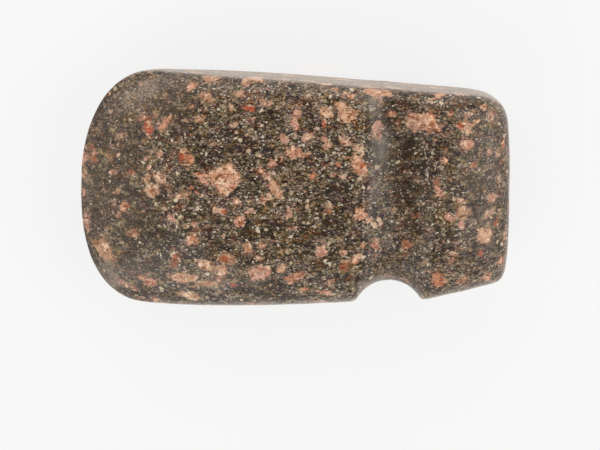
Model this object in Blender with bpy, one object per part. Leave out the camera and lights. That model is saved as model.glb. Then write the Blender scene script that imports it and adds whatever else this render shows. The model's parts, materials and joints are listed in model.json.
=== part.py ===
"""A three-quarter grooved stone axe head, lying on one broad face.

Metres, +Z up. +X runs from the cutting edge (the bit) to the butt (the poll), and +Y from the grooved
belly to the flat, ungrooved back. The origin is the middle of the underside.

The head is one piece of stone. It starts as a plain block, cut by planes into a grid, and every point of
that grid is then moved onto the ground form: the outline seen from above, the rounded section across it,
the wedge of the bit, the dome of the poll and the haft groove that runs over three of its four sides.
"""

import math

import bmesh
import bpy
from mathutils import Vector

# Lengths along the head, from the cutting edge to the butt
BLADE_LENGTH = 0.1098
GROOVE_WIDTH = 0.0250
POLL_LENGTH = 0.0302
LENGTH = BLADE_LENGTH + GROOVE_WIDTH + POLL_LENGTH

# Outline seen from above: the straight or slightly bowed sides, from the line through the tip of the bit
BACK_HEIGHT_AT_BIT = 0.0474
BACK_HEIGHT_AT_GROOVE = 0.0414
BACK_HEIGHT_AT_POLL = 0.0371
BACK_BOW = 0.0010
BELLY_DEPTH_AT_BIT = 0.0431
BELLY_DEPTH_AT_GROOVE = 0.0430
BELLY_DEPTH_PAST_GROOVE = 0.0425
BELLY_DEPTH_AT_POLL = 0.0349
BELLY_BOW = 0.0015
POLL_END_TOP = 0.0150
POLL_END_DEPTH = 0.0090

# Length of each rounded corner of the outline along X, and how square it is (2 is an ellipse)
BIT_BACK_ROUND = 0.0308
BIT_BELLY_ROUND = 0.0292
POLL_BACK_ROUND = 0.0205
POLL_BELLY_ROUND = 0.0048
BIT_BACK_SQUARENESS = 2.2
BIT_BELLY_SQUARENESS = 2.6
POLL_SQUARENESS = 4.0

# Thickness: half of it where the head is thickest, and what the faces lose from there to the butt
FACE_RISE = 0.0245
THICKEST_FROM_BIT = 0.0780
FACE_FALL = 0.0020

# Section across the head: how square the flat back and the rounder belly are, and both at the butt's end
BACK_SQUARENESS = 9.0
BELLY_SQUARENESS = 3.4
POLL_END_SQUARENESS = 2.4

# The bit: both faces fall to the blunt cutting edge, in bevels that open out towards its two ends
EDGE_HALF_THICKNESS = 0.0008
BEVEL_SLOPE = math.tan(math.radians(32))
BEVEL_BLEND = 4.0
BEVEL_SPREAD_AT_BACK = 1.03
BEVEL_SPREAD_AT_BELLY = 1.22
BIT_END_CUT = 0.00035

# The butt, or poll: its faces close in towards a small end
POLL_DOME_LENGTH = 0.0250
POLL_DOME_SQUARENESS = 2.3
POLL_END_THICKNESS_SHARE = 0.36
POLL_END_BULGE = 0.0006
POLL_CAP_START = LENGTH - POLL_END_BULGE

# The haft groove, which crosses the belly deeper, and a little nearer the bit, than it crosses the faces
GROOVE_FACE_DEPTH = 0.0036
GROOVE_BELLY_DEPTH = 0.0082
GROOVE_BELLY_SHIFT = 0.0040
GROOVE_RIM_ROUNDING = 0.0005
GROOVE_MOUTH_ROUNDING = 0.0014

# Where the groove changes, as shares of the way from the middle of a face to the back or to the belly
GROOVE_FADE_START = 0.50
GROOVE_FADE_END = 0.92
GROOVE_DEEPER_START = 0.58
GROOVE_DEEPER_END = 0.97
GROOVE_LEAN_START = 0.38
GROOVE_LEAN_END = 0.98

# Two small flats: on the underside, so that the head lies still, and on the back, for the haft's wedge
REST_FLAT_DEPTH = 0.0005
BACK_FLAT_DEPTH = 0.00025

# How finely the block is cut before it is shaped
BIT_STATIONS = 13
BLADE_STATIONS = 9
RIM_STATIONS = 3
GROOVE_STATIONS = 14
POLL_STATIONS = 3
POLL_END_STATIONS = 8
CUTS_ACROSS = 24
CUTS_THROUGH = 10
RIM_BAND_SHARE = 0.16
SMOOTH_ANGLE = math.radians(35)


def smooth_step(value):
    """0 below 0, 1 above 1, and an S curve between."""
    share = min(max(value, 0.0), 1.0)
    return share * share * (3.0 - 2.0 * share)


def between(low, high, share):
    """The value a share of the way from low to high."""
    return low + (high - low) * share


def corner(share, squareness):
    """Height of a rounded corner, from 0 where it starts to 1 where the straight side begins."""
    rest = 1.0 - min(max(share, 0.0), 1.0)
    return (1.0 - rest**squareness) ** (1.0 / squareness)


def softly_least(first, second, blend):
    """The lesser of two positive lengths, with a rounded change from one to the other."""
    return first / (1.0 + (first / second) ** blend) ** (1.0 / blend)


def bow(share):
    """How far a bowed side stands out at a share of its length: 0 at both ends, 1 in the middle."""
    return 4.0 * share * (1.0 - share)


def back_side(x):
    """The back's side: slightly bowed along the blade and straight from the groove on."""
    if x < BLADE_LENGTH:
        share = x / BLADE_LENGTH
        return between(BACK_HEIGHT_AT_BIT, BACK_HEIGHT_AT_GROOVE, share) + BACK_BOW * bow(share)
    return between(BACK_HEIGHT_AT_GROOVE, BACK_HEIGHT_AT_POLL, (x - BLADE_LENGTH) / (LENGTH - BLADE_LENGTH))


def belly_side(x):
    """The belly's side: bowed along the blade, straight over the groove's mouth, and rising along the poll."""
    mouth = BLADE_LENGTH - GROOVE_BELLY_SHIFT
    mouth_end = mouth + GROOVE_WIDTH
    if x < mouth:
        share = x / mouth
        return -between(BELLY_DEPTH_AT_BIT, BELLY_DEPTH_AT_GROOVE, share) - BELLY_BOW * bow(share)
    if x < mouth_end:
        return -between(BELLY_DEPTH_AT_GROOVE, BELLY_DEPTH_PAST_GROOVE, (x - mouth) / GROOVE_WIDTH)
    return -between(BELLY_DEPTH_PAST_GROOVE, BELLY_DEPTH_AT_POLL, (x - mouth_end) / (LENGTH - mouth_end))


def back_height(x):
    """Outline on the back: its side, rounded into the bit and into the poll."""
    height = back_side(x) * corner(x / BIT_BACK_ROUND, BIT_BACK_SQUARENESS)
    return between(POLL_END_TOP, height, corner((POLL_CAP_START - x) / POLL_BACK_ROUND, POLL_SQUARENESS))


def belly_height(x):
    """Outline on the belly: its side, rounded into the bit and into the poll."""
    height = belly_side(x) * corner(x / BIT_BELLY_ROUND, BIT_BELLY_SQUARENESS)
    return between(-POLL_END_DEPTH, height, corner((POLL_CAP_START - x) / POLL_BELLY_ROUND, POLL_SQUARENESS))


def bevel_start(y):
    """Where the bevels start at a height: the curve of the cutting edge, opened out at its two ends."""
    if y > 0.0:
        length, squareness = BIT_BACK_ROUND, BIT_BACK_SQUARENESS
        reach = BACK_HEIGHT_AT_BIT * BEVEL_SPREAD_AT_BACK
    else:
        length, squareness = BIT_BELLY_ROUND, BIT_BELLY_SQUARENESS
        reach = BELLY_DEPTH_AT_BIT * BEVEL_SPREAD_AT_BELLY
    across = min(abs(y) / reach, 1.0)
    return length * (1.0 - (1.0 - across**squareness) ** (1.0 / squareness))


def poll_dome(x):
    """How full the dome of the poll is: 0 at its end cap and 1 where the body begins."""
    return corner((POLL_CAP_START - x) / POLL_DOME_LENGTH, POLL_DOME_SQUARENESS)


def face_rise(x, y):
    """Height of a broad face over the middle plane: the wedge of the bit, the body, the dome of the poll."""
    body = FACE_RISE - FACE_FALL * ((x - THICKEST_FROM_BIT) / (LENGTH - THICKEST_FROM_BIT)) ** 2
    wedge = EDGE_HALF_THICKNESS + BEVEL_SLOPE * max(x - bevel_start(y), 0.0)
    return softly_least(wedge, body, BEVEL_BLEND) * between(POLL_END_THICKNESS_SHARE, 1.0, poll_dome(x))


def groove_cut(offset, full_depth, rounding):
    """Depth of the groove's round hollow at an offset from its middle line, with rounded rims."""
    if full_depth <= 0.0:
        return 0.0
    half_width = 0.5 * GROOVE_WIDTH
    radius = (half_width**2 + full_depth**2) / (2.0 * full_depth)
    if abs(offset) < half_width:
        cut = math.sqrt(radius**2 - offset**2) - (radius - full_depth)
    else:
        cut = (half_width - abs(offset)) * half_width / (radius - full_depth)
    return 0.5 * (cut + math.sqrt(cut**2 + rounding**2))


def groove_depth(across):
    """The groove's full depth, and its rims' rounding, at a place from -1 at the belly to 1 at the back."""
    to_belly = smooth_step((-across - GROOVE_DEEPER_START) / (GROOVE_DEEPER_END - GROOVE_DEEPER_START))
    to_back = smooth_step((GROOVE_FADE_END - across) / (GROOVE_FADE_END - GROOVE_FADE_START))
    depth = between(GROOVE_FACE_DEPTH, GROOVE_BELLY_DEPTH, to_belly) * to_back
    return depth, between(GROOVE_RIM_ROUNDING, GROOVE_MOUTH_ROUNDING, to_belly) * to_back


def leaning(x, across):
    """Follows the groove as it leans towards the bit on the belly. The shift dies out along blade and poll."""
    lean = smooth_step((-across - GROOVE_LEAN_START) / (GROOVE_LEAN_END - GROOVE_LEAN_START))
    near = min(smooth_step(2.0 * x / BLADE_LENGTH - 1.0), smooth_step((LENGTH - x) / POLL_LENGTH))
    return x - GROOVE_BELLY_SHIFT * lean * near


def stations():
    """Places of the cuts along the head, closer together where the form turns fast."""
    groove_end = BLADE_LENGTH + GROOVE_WIDTH
    band = RIM_BAND_SHARE * min(GROOVE_WIDTH, POLL_LENGTH)
    bit_end = 0.5 * BLADE_LENGTH
    poll_start = max(POLL_CAP_START - POLL_DOME_LENGTH, groove_end + 2.0 * band)

    places = []
    for i in range(BIT_STATIONS):
        turn = 0.5 * math.pi * i / BIT_STATIONS
        places.append(between(BIT_END_CUT, bit_end, 1.0 - math.cos(turn)))
    for i in range(BLADE_STATIONS):
        places.append(between(bit_end, BLADE_LENGTH - band, i / BLADE_STATIONS))
    for i in range(RIM_STATIONS):
        places.append(between(BLADE_LENGTH - band, BLADE_LENGTH, i / RIM_STATIONS))
    for i in range(GROOVE_STATIONS + 1):
        turn = math.pi * (i / GROOVE_STATIONS - 0.5)
        places.append(BLADE_LENGTH + GROOVE_WIDTH * (0.5 + 0.5 * math.sin(turn)))
    for i in range(RIM_STATIONS):
        places.append(between(groove_end, groove_end + band, (i + 1) / RIM_STATIONS))
    for i in range(POLL_STATIONS):
        places.append(between(groove_end + band, poll_start, (i + 1) / (POLL_STATIONS + 1)))
    for i in range(POLL_END_STATIONS + 1):
        turn = 0.5 * math.pi * i / POLL_END_STATIONS
        places.append(between(poll_start, POLL_CAP_START, math.sin(turn)))
    return places


def ground_point(x, v, w):
    """The place on the finished head of the block's surface point at station x, v across and w through."""
    body_squareness = BACK_SQUARENESS if v > 0.0 else BELLY_SQUARENESS
    squareness = between(POLL_END_SQUARENESS, body_squareness, poll_dome(x))
    rim = max(abs(v), abs(w))
    size = max((abs(v) ** squareness + abs(w) ** squareness) ** (1.0 / squareness), 1e-6)
    across = v / size * rim
    through = w / size * rim

    cut = groove_cut(x - BLADE_LENGTH - 0.5 * GROOVE_WIDTH, *groove_depth(across))
    x = leaning(x, across)
    back = back_height(x)
    belly = belly_height(x)
    half_width = 0.5 * (back - belly)
    y = 0.5 * (back + belly) + across * half_width
    rise = face_rise(x, y)
    z = through * rise

    # The groove cuts in along the section's own normal.
    if cut > 0.0:
        slope_y = math.copysign(abs(across) ** (squareness - 1.0), across) / half_width
        slope_z = math.copysign(abs(through) ** (squareness - 1.0), through) / rise
        steepness = math.hypot(slope_y, slope_z)
        y -= cut * slope_y / steepness
        z -= cut * slope_z / steepness

    y = min(y, back - BACK_FLAT_DEPTH * smooth_step(2.0 * x / BLADE_LENGTH))
    z = max(z, REST_FLAT_DEPTH - FACE_RISE)
    return Vector((x, y, z))


def cut_block(mesh, places, normal):
    """Cuts the block by planes square to an axis, at each of the places along it."""
    for place in places:
        geometry = mesh.verts[:] + mesh.edges[:] + mesh.faces[:]
        bmesh.ops.bisect_plane(mesh, geom=geometry, plane_co=normal * place, plane_no=normal)


def stone_block():
    """A block as long as the head and 2 by 2 across, cut into the grid that is then ground to shape."""
    along = stations()
    mesh = bmesh.new()
    bmesh.ops.create_cube(mesh, size=2.0)
    for vert in mesh.verts:
        vert.co.x = along[0] if vert.co.x < 0.0 else along[-1]
    cut_block(mesh, along[1:-1], Vector((1.0, 0.0, 0.0)))
    cut_block(mesh, [2.0 * i / CUTS_ACROSS - 1.0 for i in range(1, CUTS_ACROSS)], Vector((0.0, 1.0, 0.0)))
    cut_block(mesh, [2.0 * i / CUTS_THROUGH - 1.0 for i in range(1, CUTS_THROUGH)], Vector((0.0, 0.0, 1.0)))
    return mesh


def end_bulge(v, w):
    """Share of an end's bulge at a point of it: 1 in the middle and level with its rim all round."""
    return ((1.0 - v * v) * (1.0 - w * w)) ** 2


def grind(mesh):
    """Moves every point of the block onto the finished form."""
    first = min(vert.co.x for vert in mesh.verts)
    last = max(vert.co.x for vert in mesh.verts)
    for vert in mesh.verts:
        x, v, w = vert.co
        place = ground_point(x, v, w)
        if x == first:
            place.x -= BIT_END_CUT * end_bulge(v, w)
        if x == last:
            place.x += POLL_END_BULGE * end_bulge(v, w)
        vert.co = place


def centre_on_underside(mesh):
    """Puts the origin in the middle of the head's box, at the height of its underside."""
    for axis in range(2):
        low = min(vert.co[axis] for vert in mesh.verts)
        high = max(vert.co[axis] for vert in mesh.verts)
        for vert in mesh.verts:
            vert.co[axis] -= 0.5 * (low + high)
    bottom = min(vert.co.z for vert in mesh.verts)
    for vert in mesh.verts:
        vert.co.z -= bottom


def speckled_stone():
    """Dark, fine-grained stone with pink feldspar, ground smooth, in its average colour."""
    material = bpy.data.materials.new("speckled_stone")
    material.use_nodes = True
    shader = material.node_tree.nodes["Principled BSDF"]
    shader.inputs["Base Color"].default_value = (0.18, 0.125, 0.087, 1.0)
    shader.inputs["Roughness"].default_value = 0.45
    shader.inputs["Metallic"].default_value = 0.0
    material.diffuse_color = (0.18, 0.125, 0.087, 1.0)
    return material


def make_axe_head(collection):
    """Builds the axe head as one closed solid."""
    shape = stone_block()
    grind(shape)
    centre_on_underside(shape)
    mesh = bpy.data.meshes.new("axe_head")
    shape.to_mesh(mesh)
    shape.free()
    mesh.shade_smooth()
    mesh.set_sharp_from_angle(angle=SMOOTH_ANGLE)
    mesh.materials.append(speckled_stone())
    collection.objects.link(bpy.data.objects.new("axe_head", mesh))


def main():
    for old in list(bpy.data.objects):
        bpy.data.objects.remove(old)
    collection = bpy.data.collections.new("stone_axe_head")
    bpy.context.scene.collection.children.link(collection)
    make_axe_head(collection)


main()
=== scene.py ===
import json
import math
import random
from collections import namedtuple

import bmesh
import bpy
import numpy as np
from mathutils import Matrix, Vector
from mathutils.bvhtree import BVHTree


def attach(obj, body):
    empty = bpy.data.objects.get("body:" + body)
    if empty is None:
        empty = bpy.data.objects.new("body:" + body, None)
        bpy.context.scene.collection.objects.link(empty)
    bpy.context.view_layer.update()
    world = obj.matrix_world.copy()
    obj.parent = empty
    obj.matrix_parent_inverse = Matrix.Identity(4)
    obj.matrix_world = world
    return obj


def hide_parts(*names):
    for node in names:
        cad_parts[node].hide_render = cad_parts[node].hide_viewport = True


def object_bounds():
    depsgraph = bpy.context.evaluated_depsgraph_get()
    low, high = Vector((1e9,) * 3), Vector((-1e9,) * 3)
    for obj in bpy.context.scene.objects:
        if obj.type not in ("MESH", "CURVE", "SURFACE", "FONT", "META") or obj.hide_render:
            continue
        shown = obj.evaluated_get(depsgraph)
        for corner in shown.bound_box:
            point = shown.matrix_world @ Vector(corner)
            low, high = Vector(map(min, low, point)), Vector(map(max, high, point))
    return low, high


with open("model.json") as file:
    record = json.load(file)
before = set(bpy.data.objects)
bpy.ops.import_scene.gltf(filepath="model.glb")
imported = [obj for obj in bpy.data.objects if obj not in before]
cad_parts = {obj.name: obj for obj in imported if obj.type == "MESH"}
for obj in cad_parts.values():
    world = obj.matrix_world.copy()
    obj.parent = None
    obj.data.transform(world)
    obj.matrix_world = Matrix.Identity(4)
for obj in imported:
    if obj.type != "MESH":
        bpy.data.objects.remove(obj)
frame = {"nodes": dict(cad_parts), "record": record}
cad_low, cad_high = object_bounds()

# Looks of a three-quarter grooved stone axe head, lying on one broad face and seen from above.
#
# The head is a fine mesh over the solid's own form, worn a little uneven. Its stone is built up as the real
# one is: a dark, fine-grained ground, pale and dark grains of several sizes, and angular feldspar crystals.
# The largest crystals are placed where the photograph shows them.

MM = 0.001

# The photograph's frame and the head's place in it, in its pixels
PHOTO_WIDTH = 600
PHOTO_HEIGHT = 450
HEAD_MIDDLE_ACROSS = 295.2
HEAD_MIDDLE_DOWN = 186.7
HEAD_SPAN = 428.7

# The camera looks down, a little from the side of the flat back
VIEW_TILT = math.radians(7.5)
VIEW_DISTANCE = 0.9
SENSOR_WIDTH = 36.0

# The fine mesh
MERGE_DISTANCE = 0.001 * MM
FLAT_PAIR = math.radians(60)
LONGEST_STEP = 3.2 * MM
ROUNDING_LEVELS = 2
WEIGHT_STEPS = 16

# How unevenly the stone is ground: size of the swells, how far they go from crest to hollow, and the share
# of that which lies below the solid's own surface. Near the floor, up to a free height, it is left as it is.
SWELL_SIZE = 19.0 * MM
SWELL_DEPTH = 0.45 * MM
RIPPLE_SIZE = 6.0 * MM
RIPPLE_DEPTH = 0.16 * MM
PECK_SIZE = 1.9 * MM
PECK_DEPTH = 0.22 * MM
SUNK_SHARE = 0.70
RESTING_HEIGHT = 0.4 * MM
FREE_HEIGHT = 2.5 * MM

# The back is ground flatter: the share by which it is less uneven, and from where on across the head
BACK_FLATNESS = 0.75
FLAT_BACK_STARTS = 28.0 * MM
FLAT_BACK_FULL = 35.0 * MM

# The part of the haft groove that is pecked, and darker both as pecked stone and by painted shade: its half
# width as a share of the length of the record's opening, how soon it is at its fullest, where across the
# head it starts to lean towards its place on the belly, and the share of the way to the back over which it
# fades out
GROOVE_HALF_WIDTH = 0.76
GROOVE_FULLNESS = 1.8
LEAN_STARTS = -16.0 * MM
GROOVE_FADES = 0.5

# Curvature at which an edge starts to look pale, rubbed and with a painted highlight, and at which it is
# fully so, per metre
WEAR_AND_HIGHLIGHT_STARTS = 120.0
WEAR_AND_HIGHLIGHT_FULL = 650.0

# The grains run along the head, turned a little from its axis, and are this much longer than wide
GRAIN_ANGLE = math.radians(7)
GRAIN_STRETCH = 1.50

# Sizes of the grains in millimetres, and how many of the places hold one
DUST_SIZE = 0.42
SAND_SIZE = 0.85
SMALL_SIZE = 0.85
PALE_SIZE = 1.6
SPECK_SIZE = 0.55
SPECK_SHARE = 0.065
BLACK_SIZE = 1.9
BLACK_SHARE = 0.28
STREWN_SIZE = 2.4
STREWN_SHARE = 0.05
FLECK_SIZE = 0.60
INNER_SPECK_SIZE = 1.0 / 0.95
INNER_SPECK_SHARE = 0.10

# How ragged the grains are, and how many rags go on one
GRAIN_RAGGEDNESS = 0.42
RAGS_PER_GRAIN = 3.0

# Sizes of the soft changes in the stone, in millimetres
BROAD_SHADES = 15.0
COARSE_AREAS = 11.0
DULL_PATCHES = 7.0
CLUMP_HUES = 5.0
MINERAL_AREAS = 4.5
STREAKS = 3.6
CLUMPS = 3.0
MOTTLES = 3.0
# patches of the painted reflection haze
PAINTED_HAZE_PATCHES = 3.0
EATEN_PATCHES = 2.6
# patches where edges are rubbed pale and carry a painted highlight
RUBBED_AND_HIGHLIT_PATCHES = 2.6
CRYSTAL_PATCHES = 2.4
TINT_BLOTCHES = 2.2
ROW_PECKS = 0.8

# How far the pattern of the ground's streaks is stretched, as scales of the places along each axis, and how
# strongly its dark and pale grains differ
STREAK_SHAPE = (0.38, 1.0, 0.7)
GROUND_CONTRAST = 3.3

# The large crystals' ragged rims in millimetres: waves, notches of two sizes with their reach, and how far
# out from a crystal the small grains take on its colours
RIM_WAVES = 2.2
RIM_NOTCHES = ((1.4, 0.9), (0.6, 0.45))
CRYSTAL_FRINGE = 1.8

# Dark streaks inside the crystals: the ways they run, in degrees against the clock, how far their pattern is
# stretched and where it starts, the same for the areas that hold any, and each way's own part of the noise
CLEAVAGE_ANGLES = (38.0, -52.0)
VEIN_SHAPE = (0.28, 1.15, 0.7)
VEIN_EDGE = (0.58, 0.64)
VEINED_AREAS = 4.5
VEINED_EDGE = (0.47, 0.55)
VEIN_SHIFT = 17.0
VEINED_SHIFT = 13.0

# The relief of grains and crystals, far too low to be felt
RELIEF_HEIGHT = 0.03 * MM

# The stone's colours are written as the photograph shows them. They turn into base colours without the veil
# of gloss that lies over them all, and none gets darker than the deepest black.
GLOSS_VEIL = 0.017
DEEPEST_BLACK = 0.004

# Ranges of colours, each colour with its place in the range
DARK_MINERALS = (
    (0.00, (75, 53, 32)), (0.28, (55, 51, 41)), (0.50, (54, 48, 42)),
    (0.72, (56, 48, 51)), (0.86, (63, 48, 38)), (1.00, (77, 50, 35)),
)
LIGHT_MINERALS = (
    (0.00, (186, 148, 106)), (0.28, (166, 150, 120)), (0.50, (172, 153, 131)),
    (0.72, (174, 152, 142)), (0.86, (180, 148, 122)), (1.00, (188, 145, 112)),
)
BLACK_COLOURS = ((0.0, (50, 41, 32)), (0.5, (45, 43, 39)), (1.0, (52, 47, 50)))
CLUMP_COLOURS = (
    (0.34, (200, 160, 110)), (0.44, (169, 153, 121)), (0.52, (189, 171, 143)), (0.60, (206, 162, 132)),
)
SMALL_COLOURS = (
    (0.00, (120, 104, 80)), (0.20, (150, 132, 102)), (0.38, (149, 137, 108)), (0.55, (172, 160, 138)),
    (0.70, (198, 188, 164)), (0.82, (168, 148, 134)), (0.91, (164, 134, 100)), (1.00, (182, 146, 120)),
)
PALE_COLOURS = (
    (0.00, (150, 132, 104)), (0.35, (190, 172, 140)), (0.65, (220, 206, 180)), (1.00, (190, 152, 128)),
)
SPECK_COLOURS = ((0.0, (184, 170, 142)), (0.5, (208, 200, 184)), (1.0, (226, 216, 196)))

# Single colours
CALM_GROUND = (114, 100, 86)
PALE_PATCH = (234, 201, 171)
RUDDY_PATCH = (162, 104, 78)
DARK_VEIN = (106, 64, 44)
INNER_SPECK = (78, 60, 50)
CRYSTAL_RIM = (152, 106, 80)
# Edges rubbed pale, with a painted highlight along them
RUBBED_EDGE_AND_HIGHLIGHT = (186, 168, 146)
# Painted reflection: a grey haze where light glances off the polish
PAINTED_HAZE_GREY = (142, 132, 122)
# The groove's bed: darker pecked stone, with painted shade in the hollow
GROOVE_BED_AND_SHADE = (56, 45, 36)
PALE_PECK = (206, 194, 176)

# What the flecks inside a crystal do to its colour, from the dullest to the brightest
GLINTS = (
    (0.00, (0.48, 0.43, 0.39, 1.0)), (0.22, (0.88, 0.87, 0.86, 1.0)),
    (0.75, (1.11, 1.11, 1.11, 1.0)), (1.00, (1.31, 1.35, 1.41, 1.0)),
)

# The gloss of the polish, and a soft haze where the surface is seen at a low angle
STONE_FINISH = {
    "Specular IOR Level": 0.10,
    "Coat Weight": 0.42,
    "Coat Roughness": 0.20,
    "Sheen Weight": 0.50,
    "Sheen Roughness": 0.30,
    "Sheen Tint": (1.0, 0.80, 0.64, 1.0),
}

# Tints of the feldspar, from 0 to 1, and their colours in the same order
CREAM, TAN, PEACH, PALE, ROSE, SALMON, ORANGE, RUST, RED = (step / 8 for step in range(9))
TINT_COLOURS = (
    (214, 183, 154),
    (178, 140, 110),
    (203, 160, 128),
    (206, 168, 144),
    (190, 144, 125),
    (211, 162, 133),
    (199, 134, 102),
    (142, 94, 70),
    (181, 96, 71),
)

# The largest crystals on the side that the photograph shows: where their middle is in it, in pixels, then
# length and width in millimetres, and how far they are turned, in degrees against the clock
Crystal = namedtuple("Crystal", "across down long wide turn")
CRYSTALS_SEEN = {
    CREAM: (
        (151, 190, 7.2, 6.0, 20), (159, 154, 4.4, 3.2, -30), (146, 179, 4.0, 3.4, 0),
        (229, 107, 4.0, 2.8, -20), (359, 149, 5.6, 4.4, -35), (454, 253, 3.6, 2.6, 10),
        (330, 206, 3.8, 2.6, -20), (498, 178, 6.0, 2.2, 88), (140, 297, 4.0, 1.8, -10),
        (374, 225, 3.2, 3.0, 0), (375, 100, 4.4, 2.0, -50), (430, 102, 3.0, 2.0, 80),
        (216, 144, 3.2, 2.4, -30), (190, 296, 9.4, 5.0, -5), (326, 84, 7.0, 4.6, 15),
        (437, 88, 8.6, 5.4, -20), (395, 88, 6.4, 5.0, 30),
    ),
    TAN: (
        (181, 195, 9.6, 3.0, 8), (120, 136, 6.0, 2.8, 10), (111, 156, 4.0, 2.8, 20),
        (85, 172, 4.4, 2.4, 90), (134, 233, 4.6, 3.2, 0), (463, 213, 7.0, 5.0, 10), (461, 95, 5.8, 2.4, -5),
        (388, 275, 5.4, 2.0, 0), (394, 211, 3.2, 2.8, 0), (155, 116, 3.0, 2.8, 0), (331, 281, 4.0, 2.6, 10),
        (226, 259, 7.2, 5.8, 10), (205, 284, 12.0, 3.4, 12), (132, 234, 6.4, 3.6, -20),
        (221, 269, 6.6, 3.8, -8), (105, 250, 12.4, 7.4, -58), (210, 78, 8.0, 6.0, 0),
        (290, 76, 11.0, 6.4, 12), (205, 265, 8.4, 5.6, -20), (248, 248, 4.8, 4.0, 80),
        (206, 97, 5.6, 3.8, 10), (200, 119, 5.0, 3.2, 0), (240, 93, 5.0, 3.0, 5), (265, 103, 4.6, 3.0, -10),
    ),
    PEACH: (
        (327, 113, 5.8, 4.6, -50), (348, 116, 8.0, 4.8, 10), (343, 107, 6.4, 4.2, -30),
        (185, 278, 12.4, 5.0, 5), (222, 273, 5.4, 2.8, -8), (281, 269, 4.8, 4.0, -40),
        (412, 124, 9.0, 4.0, -48), (466, 128, 6.6, 5.4, -50), (475, 122, 4.6, 2.8, 20),
        (486, 235, 7.4, 6.2, -35), (505, 236, 7.0, 3.0, 70), (403, 279, 4.4, 2.6, -20),
        (248, 83, 4.6, 3.0, 10), (482, 107, 3.4, 2.6, 0), (262, 246, 3.6, 3.0, 0),
        (276, 189, 7.4, 4.6, -75), (253, 79, 9.0, 5.6, 10), (346, 80, 10.0, 6.4, -12),
        (370, 87, 6.0, 4.8, 0), (408, 84, 9.6, 6.0, 20), (460, 94, 7.0, 5.0, 0),
    ),
    PALE: (
        (160, 178, 7.4, 4.4, -25), (345, 140, 5.0, 3.8, 10), (308, 137, 4.8, 3.6, 60),
        (265, 200, 3.8, 3.4, 0), (237, 201, 3.4, 3.0, -30), (268, 177, 4.6, 3.2, -40),
        (380, 221, 3.8, 3.4, -40), (491, 117, 4.6, 3.2, -20), (488, 214, 5.6, 3.2, 30),
        (84, 193, 4.0, 2.2, 90), (498, 152, 3.8, 2.4, 80), (343, 253, 3.6, 3.2, 20),
        (344, 177, 4.6, 2.0, -25), (190, 107, 3.0, 2.8, 0), (240, 221, 5.6, 5.0, -50),
    ),
    ROSE: (
        (378, 131, 7.2, 5.4, 65), (297, 113, 4.0, 3.6, 60), (295, 126, 5.4, 3.6, -60),
        (172, 218, 5.6, 3.0, -35), (124, 283, 8.0, 3.0, 0), (283, 138, 5.2, 3.6, -20),
        (289, 213, 4.4, 3.4, 70), (294, 228, 4.8, 2.2, 5), (321, 252, 6.0, 4.8, 55),
        (272, 164, 4.6, 3.8, 10), (440, 193, 5.2, 4.0, -35), (450, 218, 5.2, 3.2, -15),
        (462, 225, 3.6, 2.6, 90), (326, 293, 5.8, 3.4, -20), (407, 172, 4.6, 1.9, -5),
        (325, 139, 3.8, 2.8, -20), (489, 152, 3.4, 3.0, 0), (219, 279, 3.6, 2.8, 0),
        (320, 301, 4.8, 2.0, 5), (260, 273, 11.0, 6.6, 22),
    ),
    SALMON: (
        (225, 179, 12.8, 11.2, 46), (203, 178, 7.0, 3.8, -45), (165, 123, 7.2, 3.6, 38),
        (191, 86, 5.4, 4.0, 80), (124, 206, 5.0, 4.4, 30), (424, 121, 9.6, 7.6, 14),
        (149, 281, 8.2, 4.0, -8), (294, 153, 8.4, 5.4, -12), (377, 92, 9.6, 5.8, 0),
        (381, 101, 4.6, 3.0, -70), (350, 95, 5.8, 2.8, -20), (438, 95, 5.4, 4.6, 60),
        (467, 144, 6.6, 4.0, -20), (444, 160, 4.0, 3.0, -60), (360, 214, 5.8, 4.6, 30),
        (493, 198, 4.4, 4.0, 30), (461, 200, 5.4, 2.8, -5), (487, 277, 5.0, 4.2, 30),
        (142, 118, 3.8, 2.6, 20), (88, 227, 3.4, 3.0, 60), (359, 166, 9.0, 6.2, -60),
    ),
    ORANGE: (
        (296, 277, 8.6, 5.0, 22), (192, 240, 6.2, 4.4, -10), (189, 160, 4.8, 4.0, 60),
        (431, 122, 7.4, 3.2, 80), (439, 280, 7.4, 5.8, -70), (406, 245, 5.0, 4.2, 30),
        (375, 246, 5.6, 3.0, 100), (356, 259, 6.2, 3.6, 35), (156, 299, 4.4, 3.2, -20),
        (313, 176, 4.4, 2.8, 70), (392, 114, 5.2, 2.1, 20), (503, 143, 4.2, 2.8, 70),
        (502, 161, 4.2, 2.0, 15), (501, 260, 4.2, 2.8, 80), (303, 290, 3.4, 3.0, 0), (264, 82, 3.6, 2.0, 0),
        (450, 132, 3.8, 2.0, 45),
    ),
    RUST: (
        (94, 154, 8.2, 3.4, -68), (175, 260, 6.4, 3.8, 55), (152, 192, 2.8, 2.2, 0),
        (344, 268, 4.0, 3.6, 0), (497, 222, 3.8, 3.2, 50), (415, 216, 3.6, 2.6, -30),
        (450, 114, 3.4, 2.4, 70), (494, 112, 3.0, 2.6, 0),
    ),
    RED: (
        (148, 127, 7.8, 4.6, 102), (182, 158, 5.2, 3.6, 90), (250, 108, 5.8, 2.8, -3),
        (220, 211, 6.8, 2.7, -5), (224, 259, 4.4, 3.4, 10), (233, 284, 3.2, 3.0, 0),
        (126, 206, 2.6, 2.2, 0), (241, 220, 2.6, 2.2, 0), (150, 283, 4.6, 2.0, -8),
        (261, 171, 3.6, 2.8, -30), (363, 166, 3.8, 1.8, 80), (437, 185, 4.6, 2.2, -15),
        (460, 125, 4.0, 2.6, -40), (461, 282, 3.8, 1.8, 5), (444, 282, 4.2, 2.2, -60),
        (325, 125, 3.8, 2.8, 80), (480, 253, 2.8, 2.6, 0), (397, 123, 3.2, 2.0, -20),
    ),
}

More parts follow.
